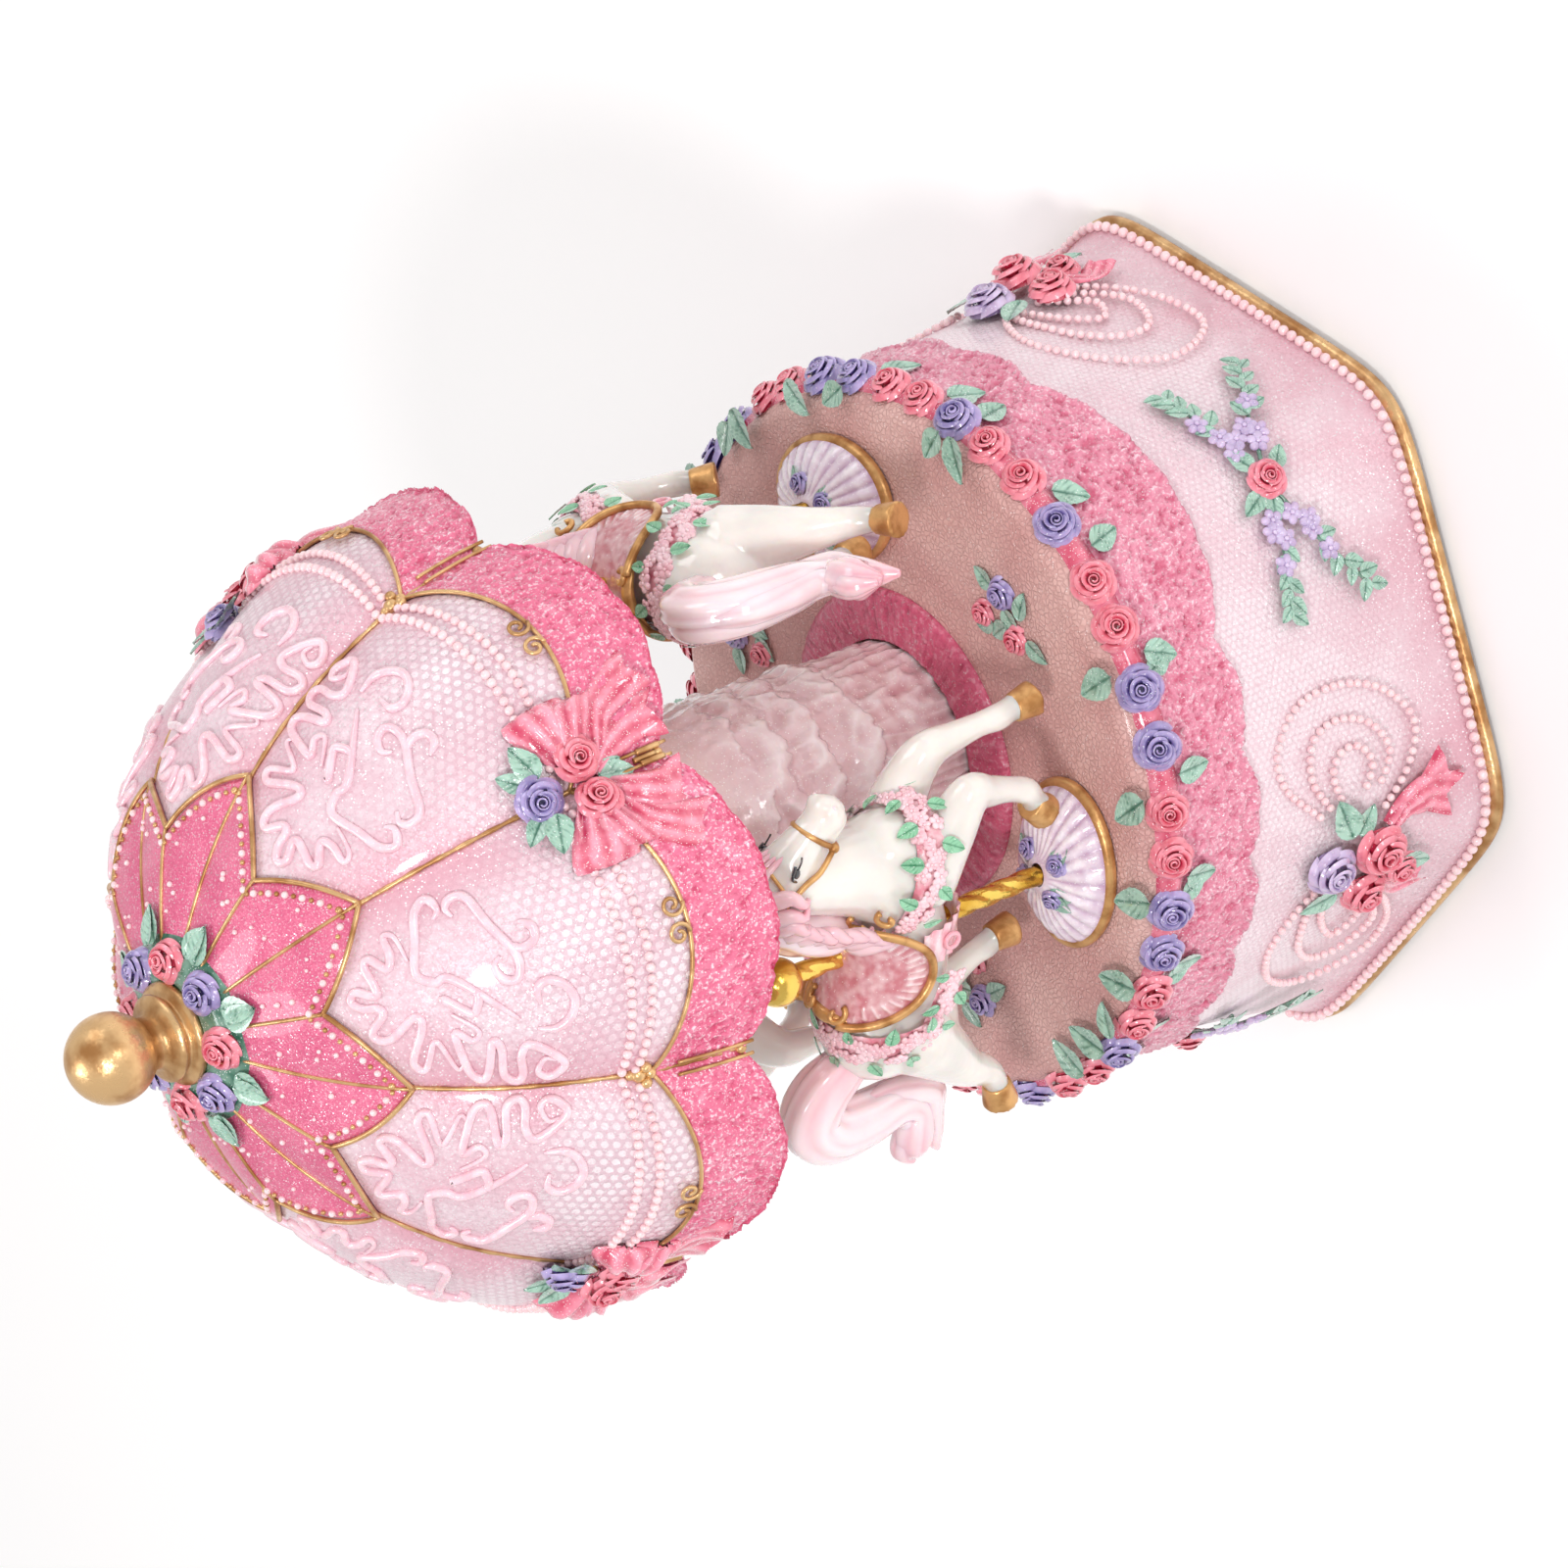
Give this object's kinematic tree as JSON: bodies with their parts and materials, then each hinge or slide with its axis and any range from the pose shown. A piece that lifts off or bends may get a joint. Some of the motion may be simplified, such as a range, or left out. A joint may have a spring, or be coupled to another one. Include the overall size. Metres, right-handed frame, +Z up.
{
  "type": "carousel music box",
  "caption": "Carousel music box: melon-shaped canopy with lace edge over galloping horses on poles, around a column on a flared six-sided base that turns on its foot.",
  "frame": {"origin": "centre of the foot's underside, on the figure's turning axis", "axes": "+Z up along the turning axis; -Y towards the front, where one base corner with a flower spray points; +X to the right seen from the front"},
  "size_m": [0.1282, 0.1388, 0.23],
  "materials": {
    "base_pearl": "pearl pink glitter lacquer over a net relief",
    "coral_rose": "hand-painted coral and lavender blossoms, green leaves, pearly wash",
    "silver_leaf": "silver-green pearl",
    "satin_pink": "satin pink pearl with coral blossoms",
    "column_resin": "translucent warm pink resin",
    "raspberry": "rough raspberry glitter",
    "canopy_pearl": "pearl pink glitter over a net relief, hot-pink lace edge, gold ribs",
    "deep_rose": "deep rose glitter with gold lines and pearls",
    "antique_gold": "antique gold paint, satin",
    "bright_gold": "polished gold plating",
    "shell_pearl": "lilac pearl with a copper-gold rim",
    "ivory_resin": "glossy ivory with pink mane, tail and saddle and gold trim",
    "felt": "dense grey felt",
    "foot_plastic": "moulded satin",
    "plate_plastic": "moulded satin",
    "steel": "bright",
    "brass": "bright",
    "casting": "die-cast, satin",
    "black_plastic": "satin"
  },
  "bodies": {
    "foot": {"foot_pad": "felt", "foot_disc": "foot_plastic", "winding_arbor": "steel", "great_wheel": "brass"},
    "figure": {"base_shell": "base_pearl", "bottom_plate": "plate_plastic", "bottom_screw_1": "steel", "bottom_screw_2": "steel", "bottom_screw_3": "steel", "rose_garland": "coral_rose", "column": "column_resin", "column_ring": "raspberry", "canopy_shell": "canopy_pearl", "crown_star": "deep_rose", "crown_wreath": "coral_rose", "finial": "antique_gold", "canopy_bow_1": "satin_pink", "canopy_bow_2": "satin_pink", "canopy_bow_3": "satin_pink", "canopy_bow_4": "satin_pink", "corner_bouquet_1": "coral_rose", "corner_bouquet_2": "coral_rose", "corner_bouquet_3": "coral_rose", "corner_spray_1": "silver_leaf", "corner_spray_2": "silver_leaf", "corner_spray_3": "silver_leaf", "horse_1": "ivory_resin", "horse_2": "ivory_resin", "horse_3": "ivory_resin", "pole_1": "bright_gold", "pole_2": "bright_gold", "pole_3": "bright_gold", "pole_ball_1": "bright_gold", "pole_ball_2": "bright_gold", "pole_ball_3": "bright_gold", "shell_base_1": "shell_pearl", "shell_base_2": "shell_pearl", "shell_base_3": "shell_pearl", "movement_bedplate": "casting", "comb_seat": "casting", "comb": "steel", "comb_screw_1": "steel", "comb_screw_2": "steel", "spring_housing": "brass", "mainspring": "steel", "spring_bridge": "steel", "bracket_inner": "steel", "bracket_outer": "steel", "governor_bracket": "steel"},
    "cylinder": {"cylinder_drum": "brass", "cylinder_pinion": "brass", "cylinder_wheel": "brass"},
    "governor": {"governor_shaft": "steel", "governor_pinion": "brass", "governor_wheel": "brass"},
    "airbrake": {"worm": "steel", "fly": "black_plastic"}
  },
  "joints": [
    {"name": "figure_turn", "type": "hinge", "parent": "foot", "child": "figure", "pos_m": [0, 0, 0], "axis": [0, 0, 1], "continuous": true},
    {"name": "cylinder_turn", "type": "hinge", "parent": "figure", "child": "cylinder", "pos_m": [0.0122, 0, 0.0173], "axis": [1, 0, 0], "continuous": true},
    {"name": "governor_turn", "type": "hinge", "parent": "figure", "child": "governor", "pos_m": [0.0341, -0.00855, 0.0173], "axis": [1, 0, 0], "continuous": true},
    {"name": "airbrake_turn", "type": "hinge", "parent": "figure", "child": "airbrake", "pos_m": [0.0383, -0.01575, 0.0098], "axis": [0, 0, 1], "continuous": true}
  ],
  "couplings": [
    {"joint": "cylinder_turn", "follows": "figure_turn", "ratio": -3},
    {"joint": "governor_turn", "follows": "figure_turn", "ratio": 9},
    {"joint": "airbrake_turn", "follows": "figure_turn", "ratio": 90}
  ]
}
